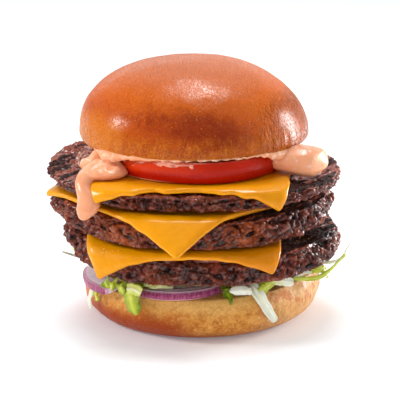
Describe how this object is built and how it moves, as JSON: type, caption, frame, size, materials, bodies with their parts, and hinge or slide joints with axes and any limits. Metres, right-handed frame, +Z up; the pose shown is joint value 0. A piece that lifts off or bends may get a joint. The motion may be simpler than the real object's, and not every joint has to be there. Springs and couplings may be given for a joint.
{
  "type": "triple_beef_burger",
  "caption": "Stacked beef burger in a glazed soft bun, with melted cheese slices, tomato, red onion, shredded lettuce and a pink dressing that runs out at the sides.",
  "frame": {"origin": "Middle of the flat spot on the underside of the bun's heel, where the burger stands", "axes": "+X is the burger's right side, -Y its front, which faces the viewer, and +Z is up"},
  "size_m": [0.1482, 0.1401, 0.125],
  "materials": {
    "glazed_crust": "Egg-glazed brioche crust, glossy, orange brown with a darker band and paler rim",
    "crumb": "Golden bun heel, satin, with browned patches low on the left",
    "seared_beef": "Seared ground beef, crumbly and moist, nearly black where charred",
    "melted_cheese": "Smooth yellow-orange processed cheese, softly glossy",
    "tomato": "Wet red tomato skin",
    "red_onion": "Purple onion skin edge with pale lavender flesh",
    "leaf": "Crisp shredded lettuce, from green through yellow to nearly white",
    "sauce": "Thick peach-pink dressing, wet gloss"
  },
  "bodies": {
    "root": {"bun_heel": "crumb", "onion_slice": "red_onion", "onion_arc": "red_onion", "lettuce": "leaf", "patty_low": "seared_beef", "cheese_low": "melted_cheese", "patty_middle": "seared_beef", "cheese_middle": "melted_cheese", "patty_high": "seared_beef", "cheese_high": "melted_cheese", "tomato_slice": "tomato", "dressing": "sauce", "bun_crown": "glazed_crust"}
  },
  "joints": []
}
